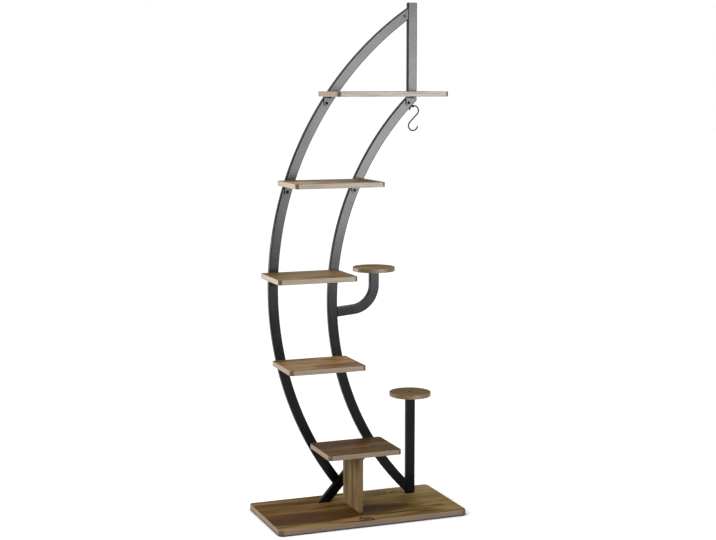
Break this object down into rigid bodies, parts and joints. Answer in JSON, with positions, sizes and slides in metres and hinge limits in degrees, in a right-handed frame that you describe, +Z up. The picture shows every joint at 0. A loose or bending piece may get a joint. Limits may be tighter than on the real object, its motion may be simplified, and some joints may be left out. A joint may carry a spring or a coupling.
{
  "type": "plant stand",
  "caption": "Half-moon plant stand: bent steel tube arcs on a wooden base board carry staggered shelf boards, round plates and a free-swinging S-hook.",
  "frame": {"origin": "middle of the base board's underside", "axes": "+X to the right, along the base board; +Y to the back, where the tubes stand; +Z up"},
  "size_m": [0.6, 0.305, 1.55],
  "materials": {
    "base_wood": "matt rustic brown board, grain along X",
    "shelf_wood": "matt rustic brown board, grain along X",
    "post_wood": "matt rustic brown board, grain upright",
    "plate_wood": "matt rustic brown board",
    "frame_steel": "satin black powder coat",
    "black_screw": "black oxide",
    "hook_steel": "satin black",
    "bare_steel": "plain steel",
    "zinc_steel": "zinc plated",
    "cap_plastic": "matt black",
    "dowel_wood": "plain beech"
  },
  "bodies": {
    "stand": {"base_board": "base_wood", "shelf_1": "shelf_wood", "shelf_2": "shelf_wood", "shelf_3": "shelf_wood", "shelf_4": "shelf_wood", "shelf_5": "shelf_wood", "post_board": "post_wood", "upper_plate": "plate_wood", "lower_plate": "plate_wood", "mast": "frame_steel", "mast_cap": "cap_plastic", "side_bar": "frame_steel", "outer_arc_upper": "frame_steel", "outer_arc_lower": "frame_steel", "inner_arc_upper": "frame_steel", "inner_arc_lower": "frame_steel", "foot_strut": "frame_steel", "plate_arm": "frame_steel", "outer_arc_sleeve": "bare_steel", "inner_arc_sleeve": "bare_steel", "arc_spigot": "bare_steel", "sleeve_screws": "zinc_steel", "spigot_screw": "black_screw", "shelf_1_left_bracket": "frame_steel", "shelf_1_right_bracket": "frame_steel", "shelf_2_left_bracket": "frame_steel", "shelf_2_right_bracket": "frame_steel", "shelf_3_left_bracket": "frame_steel", "shelf_3_right_bracket": "frame_steel", "shelf_4_left_bracket": "frame_steel", "shelf_4_right_bracket": "frame_steel", "shelf_5_left_bracket": "frame_steel", "shelf_5_right_bracket": "frame_steel", "bracket_bolts": "black_screw", "rivet_nuts": "bare_steel", "shelf_screws": "zinc_steel", "foot_inserts": "bare_steel", "base_bolts": "zinc_steel", "plate_inserts": "bare_steel", "plate_screws": "black_screw", "post_dowels": "dowel_wood", "post_screws": "zinc_steel", "hook_eye": "hook_steel"},
    "hook": {"s_hook": "hook_steel"}
  },
  "joints": [
    {"name": "hook_swing", "type": "hinge", "parent": "stand", "child": "hook", "pos_m": [0.21668, 0.0805, 1.235], "axis": [0, -1, 0], "range_deg": [-3, 70]}
  ]
}
